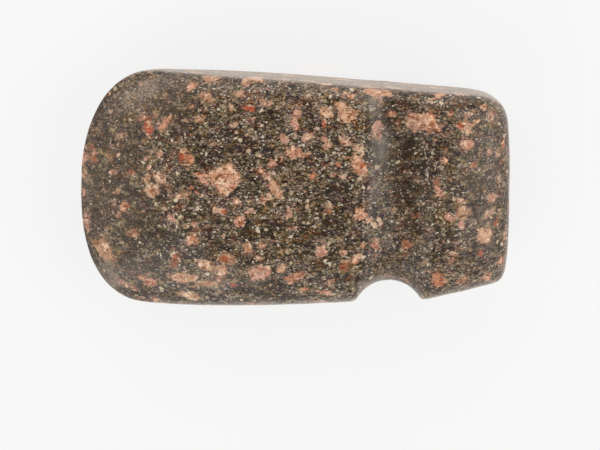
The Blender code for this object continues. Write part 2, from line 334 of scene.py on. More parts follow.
# Broad areas of the ground that the photograph shows darker than the rest, or paler where the strength is
# below zero: middle in its pixels, length and width in millimetres, turn in degrees, strength
Area = namedtuple("Area", "across down long wide turn strength")
GROUND_AREAS = (
    (182, 137, 16, 6, 0, 1.0), (205, 162, 7, 5, 40, 1.0), (127, 157, 10, 8, 60, 0.6),
    (266, 116, 16, 6, 0, 0.5), (318, 190, 14, 12, 20, 0.6), (325, 222, 18, 13, -10, 0.9),
    (255, 232, 14, 7, 10, 0.7), (226, 240, 6, 8, 0, 0.6), (403, 160, 13, 22, 0, 1.1),
    (414, 225, 9, 12, 0, 0.3), (398, 102, 10, 5, 10, 0.9), (442, 155, 6, 10, 0, 0.5),
    (160, 243, 12, 6, 0, 0.7), (318, 283, 16, 10, 0, 0.6), (250, 293, 10, 5, 0, 0.7),
    (480, 190, 12, 8, 0, 0.6), (97, 205, 5, 10, 0, 0.6), (136, 228, 8, 14, 0, 0.4),
    (300, 90, 20, 4, -4, 0.3), (420, 140, 10, 5, 0, 0.8), (345, 205, 10, 8, 0, 0.6),
    (148, 88, 20, 7, 12, -1.0), (113, 272, 12, 9, -50, -1.0), (206, 115, 8, 10, 0, -0.6),
    (158, 167, 8, 10, 0, -0.7), (470, 165, 14, 12, 0, -0.6), (490, 265, 10, 10, 0, -0.6),
    (493, 113, 7, 8, 0, -0.8), (447, 105, 8, 10, 0, -0.5), (260, 98, 46, 14, -3, -1.0),
    (205, 272, 20, 10, 0, -0.6), (390, 255, 22, 14, 0, -0.7), (130, 108, 26, 16, 20, -0.8),
    (118, 192, 20, 30, 0, 0.3), (390, 150, 4, 9, 0, 1.2), (366, 232, 4, 12, 0, 0.9),
    (366, 266, 5, 10, 0, 0.8), (430, 150, 5, 7, 0, 0.8),
)

# Broad areas whose ground is smoother and more even in colour
CALM_AREAS = (
    (108, 190, 44, 88, 0, 1.0), (145, 105, 52, 26, 10, 1.0), (128, 268, 44, 22, -20, 1.0),
    (205, 280, 44, 10, 0, 0.7), (482, 185, 24, 62, 0, 0.9), (478, 262, 20, 14, 0, 0.6),
)

# Patches of painted reflection, a grey haze, on the groove's flank and at the rounded corners
PAINTED_HAZE_AREAS = (
    (374, 106, 6, 8, 0, 1.3), (381, 146, 5, 12, 0, 1.3), (376, 170, 5, 7, 0, 0.7), (375, 190, 4, 9, 0, 0.5),
    (140, 92, 24, 8, 16, 0.8), (108, 275, 14, 7, -52, 0.8), (496, 112, 6, 8, 0, 0.6),
    (362, 104, 4, 4, 0, 0.4), (86, 190, 7, 44, 0, 0.25),
)

# Rows of pale pecks along the groove's rims: where they start and end, in the photograph's pixels, then in
# millimetres how far beside their line they fade in and are full, and how far above or below it they count
Row = namedtuple("Row", "across down across_end down_end")
PECKED_ROWS = (Row(364, 118, 363, 172), Row(364, 186, 362, 262), Row(425, 148, 429, 188))
ROW_EDGE = (0.55, 0.15)
ROW_DEPTH = 4.0

# Crystals wider than this, in millimetres, are lozenges. Others have one of these numbers of sides. A side
# is turned by up to the sway, as a share of the step between sides, and lies at a reach from the middle.
LOZENGE_WIDTH = 7.0
SIDES = (5, 6, 6, 7)
SIDE_SWAY = 0.22
SIDE_REACH = (0.80, 1.04)

# How far away, in millimetres, a vertex counts as being where no crystal or no row is near
FAR_FROM_CRYSTALS = 10.0
FAR_FROM_ROWS = 10.0

# Crystals and broad areas of the same kinds are strewn over the faces that the photograph doesn't show.
# Those are the ones that turn less than this towards the camera, where 1 is straight at it.
FACING_AWAY = 0.16

# The hidden crystals: how many, how many places are tried for each, how far apart they lie and the shares of
# it that are let pass, the middle and spread of the logarithm of their lengths in millimetres, the greatest
# length, and their widths as shares of the length
CRYSTALS_HIDDEN = 240
TRIES_EACH = 40
HIDDEN_SPACING = 6.5 * MM
SPACING_SHARES = (0.55, 1.0)
HIDDEN_LENGTHS = (1.55, 0.34)
LONGEST_HIDDEN = 12.0
HIDDEN_WIDTHS = (0.45, 0.85)
HIDDEN_TINTS = (
    CREAM, TAN, PEACH, PEACH, PALE, PALE, ROSE, ROSE, SALMON, SALMON, SALMON, ORANGE, ORANGE, RUST, RED,
)

# The hidden areas: how many, their lengths and widths in millimetres, and their strengths
AREAS_HIDDEN = 40
AREA_LENGTHS = (8.0, 20.0)
AREA_WIDTHS = (6.0, 12.0)
HIDDEN_STRENGTHS = (-0.8, -0.5, 0.6, 0.9, 1.0)

# Seeds of the draws by chance
SHAPE_SEED = 41
STREWING_SEED = 7
AREA_SEED = 11

# The floor, which glows, and the sky, with the heights at which it starts to dim and is dimmest
FLOOR_SIZE = 8.0
FLOOR_DROP = 0.1 * MM
FLOOR_COLOUR = (0.16, 0.16, 0.16, 1.0)
FLOOR_GLOW = 0.78
SKY_LOW = (0.88, 0.88, 0.88, 1.0)
SKY_OVERHEAD = (0.13, 0.13, 0.13, 1.0)
SKY_DIMS = (0.35, 0.90)

# The soft lights: where each stands, its width and height, all in metres, its power in watts and its colour
Softbox = namedtuple("Softbox", "name place width height power colour")
WHITE = (1.0, 1.0, 1.0)
SOFTBOXES = (
    Softbox("back_light", (-0.15, 1.30, 0.42), 2.0, 0.7, 6.5, (1.0, 0.87, 0.76)),
    Softbox("high_back_light", (-0.30, 1.00, 0.95), 1.4, 1.0, 3.5, WHITE),
    Softbox("poll_light", (1.00, -0.10, 1.00), 1.4, 1.4, 9.5, WHITE),
    Softbox("belly_light", (-0.70, -1.00, 0.90), 1.4, 1.4, 10.0, WHITE),
)


def screen_light(share):
    """How much light a screen gives for a value from 0 to 1, by the usual curve of screens."""
    return share / 12.92 if share < 0.04045 else ((share + 0.055) / 1.055) ** 2.4


def as_seen(red, green, blue):
    """The base colour of stone that the photograph shows in a colour, given from 0 to 255."""
    channels = [max(screen_light(part / 255) - GLOSS_VEIL, DEEPEST_BLACK) for part in (red, green, blue)]
    return (*channels, 1.0)


# Short words for building node trees

def feed(tree, socket, value):
    """Links another node's output to a socket, or sets its plain value."""
    if isinstance(value, bpy.types.NodeSocket):
        tree.links.new(value, socket)
    else:
        socket.default_value = value


def add_node(tree, kind, inputs=(), **settings):
    """Adds a node with its settings and its inputs."""
    node = tree.nodes.new(kind)
    for name, value in settings.items():
        setattr(node, name, value)
    for name, value in dict(inputs).items():
        feed(tree, node.inputs[name], value)
    return node


def maths(tree, operation, *values):
    """One step of arithmetic on plain numbers."""
    node = add_node(tree, "ShaderNodeMath", operation=operation)
    for socket, value in zip(node.inputs, values):
        feed(tree, socket, value)
    return node.outputs["Value"]


def times(tree, first, second):
    """One number times another."""
    return maths(tree, "MULTIPLY", first, second)


def plus(tree, base, value, factor):
    """A base plus a value times a factor."""
    return maths(tree, "MULTIPLY_ADD", value, factor, base)


def vector_maths(tree, operation, *values):
    """One step of arithmetic on vectors."""
    node = add_node(tree, "ShaderNodeVectorMath", operation=operation)
    for socket, value in zip(node.inputs, values):
        feed(tree, socket, value)
    return node.outputs["Vector"]


def moved(tree, place, *shift):
    """Places moved by a shift in millimetres, so that a pattern there looks unlike the same pattern here."""
    return vector_maths(tree, "ADD", place, shift)


def scaled(tree, vector, factor):
    """A vector times a number."""
    node = add_node(tree, "ShaderNodeVectorMath", {"Vector": vector, "Scale": factor}, operation="SCALE")
    return node.outputs["Vector"]


def fade(tree, value, start, end):
    """0 where a value is at its start and 1 where it is at its end, with an S curve between."""
    inputs = {"Value": value, "From Min": start, "From Max": end}
    return add_node(tree, "ShaderNodeMapRange", inputs, interpolation_type="SMOOTHSTEP").outputs["Result"]


def mixed(tree, share, under, over, how="MIX"):
    """One colour laid over another by a share."""
    node = add_node(tree, "ShaderNodeMix", data_type="RGBA", blend_type=how)
    feed(tree, node.inputs[0], share)
    feed(tree, node.inputs[6], under)
    feed(tree, node.inputs[7], over)
    return node.outputs[2]


def tinted(tree, share, under, seen_colour):
    """A plain colour, as the photograph shows it, laid over another colour by a share."""
    return mixed(tree, share, under, as_seen(*seen_colour))


def colour_ramp(tree, value, stops):
    """A colour that runs through its stops as a value goes from 0 to 1."""
    node = add_node(tree, "ShaderNodeValToRGB", {"Fac": value})
    elements = node.color_ramp.elements
    while len(elements) < len(stops):
        elements.new(1.0)
    for element, (position, colour) in zip(elements, stops):
        element.position = position
        element.color = colour
    return node.outputs["Color"]


def seen_ramp(tree, value, stops):
    """A colour ramp whose stops hold colours as the photograph shows them."""
    return colour_ramp(tree, value, [(position, as_seen(*colour)) for position, colour in stops])


def clouds(tree, place, size, detail=2.0):
    """Soft noise with swells of a size in millimetres, around 0.5."""
    inputs = {"Vector": place, "Scale": 1.0 / size, "Detail": detail}
    return add_node(tree, "ShaderNodeTexNoise", inputs).outputs["Fac"]


def swing(tree, place, size, detail=2.0):
    """Soft noise around zero."""
    return maths(tree, "SUBTRACT", clouds(tree, place, size, detail), 0.5)


def patches(tree, place, size, detail, start, end):
    """Soft-edged patches of a size in millimetres: 0 outside them and 1 inside."""
    return fade(tree, clouds(tree, place, size, detail), start, end)


def random_cells(tree, place, size):
    """Tiny cells of a size in millimetres: three chance numbers for each, and the distance to its middle."""
    cells = add_node(tree, "ShaderNodeTexVoronoi", {"Vector": place, "Scale": 1.0 / size}).outputs
    return add_node(tree, "ShaderNodeSeparateColor", {"Color": cells["Color"]}).outputs, cells["Distance"]


def attribute(tree, name):
    """One of the piece's own values, which vary over its surface."""
    node = add_node(tree, "ShaderNodeAttribute", attribute_type="GEOMETRY", attribute_name=name)
    return node.outputs["Fac"]


def new_group(name, inputs, outputs):
    """A node group with its sockets, each given as its name and kind, and its input and output nodes."""
    tree = bpy.data.node_groups.new(name, "ShaderNodeTree")
    for socket, kind in inputs:
        tree.interface.new_socket(socket, in_out="INPUT", socket_type=kind)
    for socket, kind in outputs:
        tree.interface.new_socket(socket, in_out="OUTPUT", socket_type=kind)
    return tree, add_node(tree, "NodeGroupInput").outputs, add_node(tree, "NodeGroupOutput").inputs


def use_group(tree, group, **inputs):
    """Places a node group and returns its outputs."""
    node = add_node(tree, "ShaderNodeGroup", node_tree=group)
    for name, value in inputs.items():
        feed(tree, node.inputs[name], value)
    return node.outputs


VECTOR, NUMBER, COLOUR = "NodeSocketVector", "NodeSocketFloat", "NodeSocketColor"


# The stone's grains and crystals, as node groups

def make_grains():
    """Angular grains or crystals of one size, a little ragged. Share is how many of the places hold one."""
    inputs = (("Place", VECTOR), ("Size", NUMBER), ("Share", NUMBER))
    tree, given, made = new_group("grains", inputs, (("Mask", NUMBER), ("Shade", NUMBER)))

    unit = scaled(tree, given["Place"], maths(tree, "DIVIDE", 1.0, given["Size"]))
    noise = add_node(tree, "ShaderNodeTexNoise", {"Vector": unit, "Scale": RAGS_PER_GRAIN, "Detail": 2.0})
    shift = vector_maths(tree, "SUBTRACT", noise.outputs["Color"], (0.5, 0.5, 0.5))
    bent = vector_maths(tree, "ADD", unit, scaled(tree, shift, GRAIN_RAGGEDNESS))
    chance, _ = random_cells(tree, bent, 1.0)
    sides = add_node(tree, "ShaderNodeTexVoronoi", {"Vector": bent, "Scale": 1.0},
                     feature="DISTANCE_TO_EDGE")

    held = maths(tree, "LESS_THAN", chance["Red"], given["Share"])
    rim = plus(tree, 0.02, chance["Green"], 0.20)
    body = fade(tree, sides.outputs["Distance"], rim, maths(tree, "ADD", rim, 0.07))
    feed(tree, made["Mask"], times(tree, held, body))
    feed(tree, made["Shade"], chance["Blue"])
    return tree


def cleavage_veins(tree, place):
    """Dark streaks along a crystal's planes of cleavage, here and there."""
    vein = 0.0
    for number, angle in enumerate(CLEAVAGE_ANGLES):
        turned = add_node(tree, "ShaderNodeMapping", {
            "Vector": place, "Location": (VEIN_SHIFT * number, 0.0, 0.0),
            "Rotation": (0.0, 0.0, math.radians(angle)), "Scale": VEIN_SHAPE,
        }).outputs["Vector"]
        streak = patches(tree, turned, 1.0, 2.0, *VEIN_EDGE)
        elsewhere = moved(tree, place, 0.0, 0.0, VEINED_SHIFT * number)
        held = patches(tree, elsewhere, VEINED_AREAS, 1.0, *VEINED_EDGE)
        vein = maths(tree, "MAXIMUM", vein, times(tree, streak, held))
    return vein


def make_feldspar():
    """The colour inside a crystal: its own tint, mottled, with patches, glints, dark veins and specks."""
    tree, given, made = new_group("feldspar", (("Place", VECTOR), ("Tint", NUMBER)), (("Color", COLOUR),))
    place = given["Place"]

    last = len(TINT_COLOURS) - 1
    stops = [(step / last, colour) for step, colour in enumerate(TINT_COLOURS)]
    colour = seen_ramp(tree, plus(tree, given["Tint"], swing(tree, place, TINT_BLOTCHES, 3.0), 0.45), stops)
    pale = patches(tree, moved(tree, place, 9.0, 4.0, 2.0), CRYSTAL_PATCHES, 3.0, 0.52, 0.61)
    colour = tinted(tree, times(tree, pale, 0.68), colour, PALE_PATCH)
    ruddy = patches(tree, moved(tree, place, 3.0, 7.0, 5.0), CRYSTAL_PATCHES, 3.0, 0.53, 0.62)
    colour = tinted(tree, times(tree, ruddy, 0.70), colour, RUDDY_PATCH)

    flecks, _ = random_cells(tree, place, FLECK_SIZE)
    colour = mixed(tree, 0.85, colour, colour_ramp(tree, flecks["Red"], GLINTS), "MULTIPLY")
    colour = tinted(tree, times(tree, cleavage_veins(tree, place), 0.85), colour, DARK_VEIN)

    chance, from_middle = random_cells(tree, place, INNER_SPECK_SIZE)
    held = maths(tree, "LESS_THAN", chance["Red"], INNER_SPECK_SHARE)
    speck = times(tree, held, fade(tree, from_middle, 0.46, 0.28))
    feed(tree, made["Color"], tinted(tree, times(tree, speck, 0.8), colour, INNER_SPECK))
    return tree


# The stone, in layers. Each layer's function takes the colours so far and returns them with its own on top.

# What the layers share: places in the stone in millimetres, plain and along its grain, how calm the ground
# is, how many grains it holds, the chances of its finest grains, and the two node groups
Stone = namedtuple("Stone", "tree place grain_place calm busy dust grains feldspar")


def start_stone(tree):
    """Gathers what the layers share."""
    place = scaled(tree, add_node(tree, "ShaderNodeTexCoord").outputs["Object"], 1.0 / MM)
    grain_place = add_node(tree, "ShaderNodeMapping", {
        "Vector": place, "Rotation": (0.0, 0.0, -GRAIN_ANGLE), "Scale": (1.0 / GRAIN_STRETCH, 1.0, 1.0),
    }).outputs["Vector"]
    calm = attribute(tree, "calm")
    busy = plus(tree, 1.0, calm, -0.88)
    dust, _ = random_cells(tree, grain_place, DUST_SIZE)
    return Stone(tree, place, grain_place, calm, busy, dust, make_grains(), make_feldspar())


def ground_colour(stone):
    """The fine-grained ground: tiny grains of several minerals, from near black to tan."""
    tree, place, calm = stone.tree, stone.grain_place, stone.calm
    sand, _ = random_cells(tree, place, SAND_SIZE)
    streaked_place = vector_maths(tree, "MULTIPLY", place, STREAK_SHAPE)
    value = times(tree, stone.dust["Red"], 0.75)
    value = plus(tree, value, sand["Red"], plus(tree, 0.38, calm, -0.22))
    value = plus(tree, value, swing(tree, place, BROAD_SHADES), 0.35)
    value = plus(tree, value, swing(tree, streaked_place, STREAKS), 0.55)
    value = plus(tree, value, swing(tree, place, MOTTLES), plus(tree, 0.65, calm, -0.30))
    value = plus(tree, value, attribute(tree, "darkness"), -0.17)
    value = maths(tree, "ADD", plus(tree, -0.085, calm, 0.13), value)
    lightness = maths(tree, "POWER", maths(tree, "MAXIMUM", value, 0.0), GROUND_CONTRAST)

    mineral = plus(tree, plus(tree, 0.2, sand["Green"], 0.6), swing(tree, place, MINERAL_AREAS), 2.2)
    dark, light = seen_ramp(tree, mineral, DARK_MINERALS), seen_ramp(tree, mineral, LIGHT_MINERALS)
    return tinted(tree, times(tree, calm, 0.22), mixed(tree, lightness, dark, light), CALM_GROUND)


def lay_grains(stone, under, place, size, share, strength, colours):
    """Grains of one size, each with one of the colours by chance."""
    grain = use_group(stone.tree, stone.grains, Place=place, Size=size, Share=share)
    held = times(stone.tree, grain["Mask"], strength)
    return mixed(stone.tree, held, under, seen_ramp(stone.tree, grain["Shade"], colours))


def lay_clumps(stone, under):
    """Clumps in which many of the finest grains are pale, stronger where the ground is calm."""
    tree, dust = stone.tree, stone.dust
    place = moved(tree, stone.grain_place, 0.0, 23.0, 41.0)
    clump = times(tree, patches(tree, place, CLUMPS, 2.0, 0.53, 0.66), plus(tree, 0.40, stone.calm, 0.60))
    grain = times(tree, fade(tree, dust["Blue"], 0.30, 0.60), plus(tree, 0.3, dust["Green"], 0.6))
    colour = seen_ramp(tree, clouds(tree, place, CLUMP_HUES, 1.0), CLUMP_COLOURS)
    return mixed(tree, times(tree, clump, grain), under, colour)


def lay_small_grains(stone, under, coarse, crystal_look):
    """Small grains, more of them beside the large crystals, where they take on the crystals' colours."""
    tree = stone.tree
    beside_crystal = fade(tree, attribute(tree, "crystal_depth"), -CRYSTAL_FRINGE, 0.0)
    share = plus(tree, plus(tree, 0.08, coarse, 0.13), beside_crystal, 0.16)
    small = use_group(tree, stone.grains, Place=stone.grain_place, Size=SMALL_SIZE,
                      Share=times(tree, share, stone.busy))
    colour = seen_ramp(tree, small["Shade"], SMALL_COLOURS)
    colour = mixed(tree, times(tree, beside_crystal, 0.6), colour, crystal_look)
    return mixed(tree, times(tree, small["Mask"], 0.80), under, colour), small["Mask"]


def lay_strewn_crystals(stone, under, sound):
    """Small crystals strewn by chance, fainter where the crystals aren't sound."""
    tree = stone.tree
    place = moved(tree, stone.grain_place, 0.0, 0.0, 83.0)
    strewn = use_group(tree, stone.grains, Place=place, Size=STREWN_SIZE, Share=STREWN_SHARE)
    look = use_group(tree, stone.feldspar, Place=stone.place, Tint=strewn["Shade"])
    held = times(tree, strewn["Mask"], times(tree, sound, 0.8))
    return mixed(tree, held, under, look["Color"]), strewn["Mask"]


def lay_placed_crystals(stone, under, sound, crystal_look):
    """The large crystals, ragged and ruddy at their rims, which are softer where the ground is calm."""
    tree, place, calm = stone.tree, stone.place, stone.calm
    depth = plus(tree, attribute(tree, "crystal_depth"), swing(tree, place, RIM_WAVES), 1.6)
    for size, reach in RIM_NOTCHES:
        notch = maths(tree, "SUBTRACT", random_cells(tree, place, size)[0]["Green"], 0.5)
        depth = plus(tree, depth, notch, reach)
    placed = fade(tree, depth, plus(tree, 0.05, calm, -0.55), plus(tree, 0.35, calm, 0.75))
    heart = fade(tree, depth, 0.1, 1.0)
    whole = maths(tree, "MAXIMUM", sound, times(tree, heart, 0.85))
    colour = tinted(tree, plus(tree, 0.30, heart, -0.30), crystal_look, CRYSTAL_RIM)
    return mixed(tree, times(tree, placed, whole), under, colour), placed


def lay_marks(stone, under, hollow):
    """Edges rubbed pale and painted highlit, a painted grey reflection haze, the groove's darker bed in
    painted shade, and rows of pecks along its rims.
    """
    tree, place = stone.tree, stone.place
    # Edges paler, partly rubbed wear and partly a painted highlight
    rubbed_and_highlit = times(tree, attribute(tree, "edge_wear_and_highlight"), patches(tree, place, RUBBED_AND_HIGHLIT_PATCHES, 3.0, 0.40, 0.62))
    colour = tinted(tree, times(tree, rubbed_and_highlit, 0.45), under, RUBBED_EDGE_AND_HIGHLIGHT)
    # Painted reflection: a grey haze over the patches where light glances off
    painted_haze_noise = plus(tree, clouds(tree, place, PAINTED_HAZE_PATCHES, 3.0), stone.dust["Blue"], 0.2)
    painted_haze = times(tree, attribute(tree, "painted_haze"), fade(tree, painted_haze_noise, 0.30, 0.75))
    colour = tinted(tree, times(tree, painted_haze, 0.75), colour, PAINTED_HAZE_GREY)
    # The groove's bed darker, partly pecked stone and partly painted shade in the hollow
    colour = tinted(tree, times(tree, hollow, 0.25), colour, GROOVE_BED_AND_SHADE)
    beside = maths(tree, "ABSOLUTE", attribute(tree, "row_offset"))
    pecked = times(tree, fade(tree, beside, *ROW_EDGE), patches(tree, place, ROW_PECKS, 1.0, 0.50, 0.62))
    return tinted(tree, times(tree, pecked, 0.8), colour, PALE_PECK)


def make_stone():
    """The axe head's stone, ground smooth."""
    material = bpy.data.materials.new("speckled_stone")
    material.use_nodes = True
    tree = material.node_tree
    stone = start_stone(tree)
    place, grain_place, busy = stone.place, stone.grain_place, stone.busy
    tint = attribute(tree, "crystal_tint")
    crystal_look = use_group(tree, stone.feldspar, Place=place, Tint=tint)["Color"]
    coarse = patches(tree, moved(tree, place, 0.0, 19.0, 0.0), COARSE_AREAS, 2.0, 0.40, 0.60)
    eaten = patches(tree, moved(tree, place, 5.0, 0.0, 29.0), EATEN_PATCHES, 3.0, 0.50, 0.62)
    sound = plus(tree, 1.0, eaten, -0.60)
    hollow = attribute(tree, "groove")

    colour = ground_colour(stone)
    colour = lay_grains(stone, colour, moved(tree, grain_place, 31.0, 0.0, 0.0), BLACK_SIZE, BLACK_SHARE,
                        plus(tree, 0.70, stone.calm, -0.30), BLACK_COLOURS)
    colour = lay_clumps(stone, colour)
    colour, small = lay_small_grains(stone, colour, coarse, crystal_look)
    colour = lay_grains(stone, colour, moved(tree, place, 0.0, 57.0, 0.0), PALE_SIZE,
                        times(tree, busy, plus(tree, 0.05, coarse, 0.05)), 0.85, PALE_COLOURS)
    colour = lay_grains(stone, colour, moved(tree, grain_place, 67.0, 0.0, 0.0), SPECK_SIZE,
                        times(tree, busy, SPECK_SHARE), 0.90, SPECK_COLOURS)
    colour, strewn = lay_strewn_crystals(stone, colour, sound)
    colour, placed = lay_placed_crystals(stone, colour, sound, crystal_look)
    colour = lay_marks(stone, colour, hollow)

    crystal = maths(tree, "MAXIMUM", placed, strewn)
    relief = plus(tree, times(tree, stone.dust["Blue"], 0.3), crystal, 0.8)
    relief = plus(tree, relief, small, 0.5)
    bump = add_node(tree, "ShaderNodeBump", {"Strength": 0.5, "Distance": RELIEF_HEIGHT, "Height": relief})
    dullness = plus(tree, 0.38, clouds(tree, place, DULL_PATCHES, 3.0), 0.16)
    dullness = plus(tree, dullness, crystal, -0.06)
    dullness = plus(tree, dullness, hollow, 0.10)

    shader = tree.nodes["Principled BSDF"]
    feed(tree, shader.inputs["Base Color"], colour)
    feed(tree, shader.inputs["Roughness"], dullness)
    feed(tree, shader.inputs["Normal"], bump.outputs["Normal"])
    for name, value in STONE_FINISH.items():
        shader.inputs[name].default_value = value
    return material


# The head's mesh

def select_only(piece):
    """Deselects everything but one piece, which the next operators act on."""
    bpy.ops.object.select_all(action="DESELECT")
    piece.select_set(True)
    bpy.context.view_layer.objects.active = piece


def apply_modifier(piece, name, kind, **settings):
    """Adds a modifier to the active piece and applies it."""
    modifier = piece.modifiers.new(name, kind)
    for setting, value in settings.items():
        setattr(modifier, setting, value)
    bpy.ops.object.modifier_apply(modifier=name)


def copy_node(node_name, piece_name):
    """A new piece with a copy of a CAD node's mesh, its triangles merged and paired to four-sided faces."""
    piece = bpy.data.objects.new(piece_name, frame["nodes"][node_name].data.copy())
    bpy.context.scene.collection.objects.link(piece)
    select_only(piece)
    bpy.ops.object.mode_set(mode="EDIT")
    bpy.ops.mesh.select_mode(type="EDGE")
    bpy.ops.mesh.select_all(action="SELECT")
    bpy.ops.mesh.remove_doubles(threshold=MERGE_DISTANCE)
    bpy.ops.mesh.mark_sharp(clear=True)
    bpy.ops.mesh.tris_convert_to_quads(face_threshold=FLAT_PAIR, shape_threshold=FLAT_PAIR)
    return piece


def split_long_steps(piece):
    """Cuts the edges in two that run along the head and are long, so that the faces end up alike in size."""
    bpy.ops.mesh.select_all(action="DESELECT")
    shape = bmesh.from_edit_mesh(piece.data)
    for edge in shape.edges:
        step = edge.verts[1].co - edge.verts[0].co
        edge.select_set(abs(step.x) > LONGEST_STEP)
    bmesh.update_edit_mesh(piece.data)
    bpy.ops.mesh.subdivide(number_cuts=1)


def vertex_places(piece):
    """Places of a piece's vertices."""
    places = np.empty(len(piece.data.vertices) * 3)
    piece.data.vertices.foreach_get("co", places)
    return places.reshape(-1, 3)


def vertex_normals(piece):
    """Normals of a piece's vertices."""
    normals = np.empty(len(piece.data.vertices) * 3)
    piece.data.vertex_normals.foreach_get("vector", normals)
    return normals.reshape(-1, 3)


def smooth_step(value):
    """0 below 0, 1 above 1, and an S curve between, for an array."""
    share = np.clip(value, 0.0, 1.0)
    return share * share * (3.0 - 2.0 * share)


def set_group(piece, name, weights):
    """Makes a vertex group from one weight for each vertex, in even steps."""
    group = piece.vertex_groups.new(name=name)
    steps = np.rint(weights * WEIGHT_STEPS).astype(int)
    for step in range(1, WEIGHT_STEPS + 1):
        group.add(np.flatnonzero(steps == step).tolist(), step / WEIGHT_STEPS, "REPLACE")


def set_attribute(piece, name, values):
    """Keeps one number for each vertex, for the material to read."""
    kept = piece.data.attributes.new(name, "FLOAT", "POINT")
    kept.data.foreach_set("value", np.asarray(values, dtype=np.float32))


def groove_share(places):
    """How far inside the haft groove a place is: 0 at its rims and outside, 1 along its middle line."""
    record = frame["record"]
    seat = next(mount for mount in record["mounts"] if mount["name"] == "wedge_seat")
    low, high = record["physics"]["openings"][0]["box_m"]
    face_middle = seat["pos_m"][0]
    belly_middle = 0.5 * (low[0] + high[0])
    half_width = GROOVE_HALF_WIDTH * (high[0] - low[0])
    lean = smooth_step((places[:, 1] - LEAN_STARTS) / (low[1] - LEAN_STARTS))
    middle = face_middle + (belly_middle - face_middle) * lean
    across = np.clip(1.0 - np.abs(places[:, 0] - middle) / half_width, 0.0, 1.0)
    fading = smooth_step((cad_high.y - places[:, 1]) / (GROOVE_FADES * cad_high.y))
    return smooth_step(across * GROOVE_FULLNESS) * fading


def wear_down(piece, name, size, depth, group):
    """Makes the surface uneven, in swells that mostly sink, so that the head keeps within its box."""
    pattern = bpy.data.textures.new(name, "CLOUDS")
    pattern.noise_scale = size
    apply_modifier(piece, name, "DISPLACE", texture=pattern, texture_coords="LOCAL", strength=depth,
                   mid_level=SUNK_SHARE, vertex_group=group)


def edge_curvature(piece):
    """How sharply the surface bends outwards at each vertex, per metre, evened out over a few vertices."""
    mesh = piece.data
    ends = np.empty(len(mesh.edges) * 2, dtype=int)
    mesh.edges.foreach_get("vertices", ends)
    first, second = ends.reshape(-1, 2).T
    places, normals = vertex_places(piece), vertex_normals(piece)
    count = np.bincount(ends, minlength=len(places)).astype(float)

    def neighbours_mean(values):
        total = np.zeros(len(places))
        np.add.at(total, first, values[second])
        np.add.at(total, second, values[first])
        return total / count

    step = places[second] - places[first]
    rise = np.zeros(len(places))
    reach = np.zeros(len(places))
    np.add.at(rise, first, (step * normals[first]).sum(1))
    np.add.at(rise, second, -(step * normals[second]).sum(1))
    length = (step * step).sum(1)
    np.add.at(reach, first, length)
    np.add.at(reach, second, length)
    bend = -2.0 * rise / reach
    for _ in range(2):
        bend = 0.5 * (bend + neighbours_mean(bend))
    return bend


def make_head():
    """The whole head as a fine mesh: rounded over the solid's faces, then worn a little uneven."""
    head = copy_node("axe_head", "stone_axe_head")
    split_long_steps(head)
    bpy.ops.object.mode_set(mode="OBJECT")
    apply_modifier(head, "rounding", "SUBSURF", levels=ROUNDING_LEVELS, render_levels=ROUNDING_LEVELS)

    places = vertex_places(head)
    free = smooth_step((places[:, 2] - RESTING_HEIGHT) / (FREE_HEIGHT - RESTING_HEIGHT))
    on_back = smooth_step((places[:, 1] - FLAT_BACK_STARTS) / (FLAT_BACK_FULL - FLAT_BACK_STARTS))
    free *= 1.0 - BACK_FLATNESS * on_back
    set_group(head, "free_surface", free)
    set_group(head, "pecked_groove", free * groove_share(places))
    wear_down(head, "swells", SWELL_SIZE, SWELL_DEPTH, "free_surface")
    wear_down(head, "ripples", RIPPLE_SIZE, RIPPLE_DEPTH, "free_surface")
    wear_down(head, "pecking", PECK_SIZE, PECK_DEPTH, "pecked_groove")
    bpy.ops.object.shade_smooth()
    return head


# Where the large crystals and the broad areas lie

def head_surface(head):
    """The head's surface, for rays to meet."""
    return BVHTree.FromPolygons([v.co for v in head.data.vertices], [p.vertices for p in head.data.polygons])


def seen_place(camera, surface, across, down):
    """The point of the surface, and its normal, that the photograph shows at a pixel."""
    focal = camera.data.lens / SENSOR_WIDTH * PHOTO_WIDTH
    ray = Vector(((across - PHOTO_WIDTH / 2) / focal, (PHOTO_HEIGHT / 2 - down) / focal, -1.0))
    turn = camera.rotation_euler.to_matrix()
    place, normal, _, _ = surface.ray_cast(camera.location, (turn @ ray).normalized())
    return place, normal


def unseen_faces(head, camera):
    """The faces that the camera doesn't see, and their areas."""
    view = (camera.location - 0.5 * (cad_low + cad_high)).normalized()
    faces = [face for face in head.data.polygons if face.normal.dot(view) < FACING_AWAY]
    return faces, [face.area for face in faces]


def shares_from(places, place, normal, patch):
    """How far places lie from the middle of a crystal or area: along, beside and above it. 1 is its edge."""
    angle = math.radians(patch.turn)
    heading = Vector((math.cos(angle), math.sin(angle), 0.0))
    along = (heading - normal * heading.dot(normal)).normalized()
    offset = (places - np.array(place)) / MM
    axes = ((along, patch.long), (normal.cross(along), patch.wide), (normal, patch.long))
    return [offset @ np.array(axis) / (0.5 * size) for axis, size in axes]


def crystal_depth(places, place, normal, crystal, chance):
    """How deep inside one crystal each place lies, in millimetres. The wide ones are lozenges."""
    along, beside, above = shares_from(places, place, normal, crystal)
    inside = 1.0 - np.abs(above)
    count = 4 if crystal.wide > LOZENGE_WIDTH else chance.choice(SIDES)
    for number in range(count):
        angle = 2.0 * math.pi * (number + chance.uniform(-SIDE_SWAY, SIDE_SWAY)) / count
        reach = chance.uniform(*SIDE_REACH)
        inside = np.minimum(inside, reach - along * math.cos(angle) - beside * math.sin(angle))
    return inside * 0.5 * crystal.wide


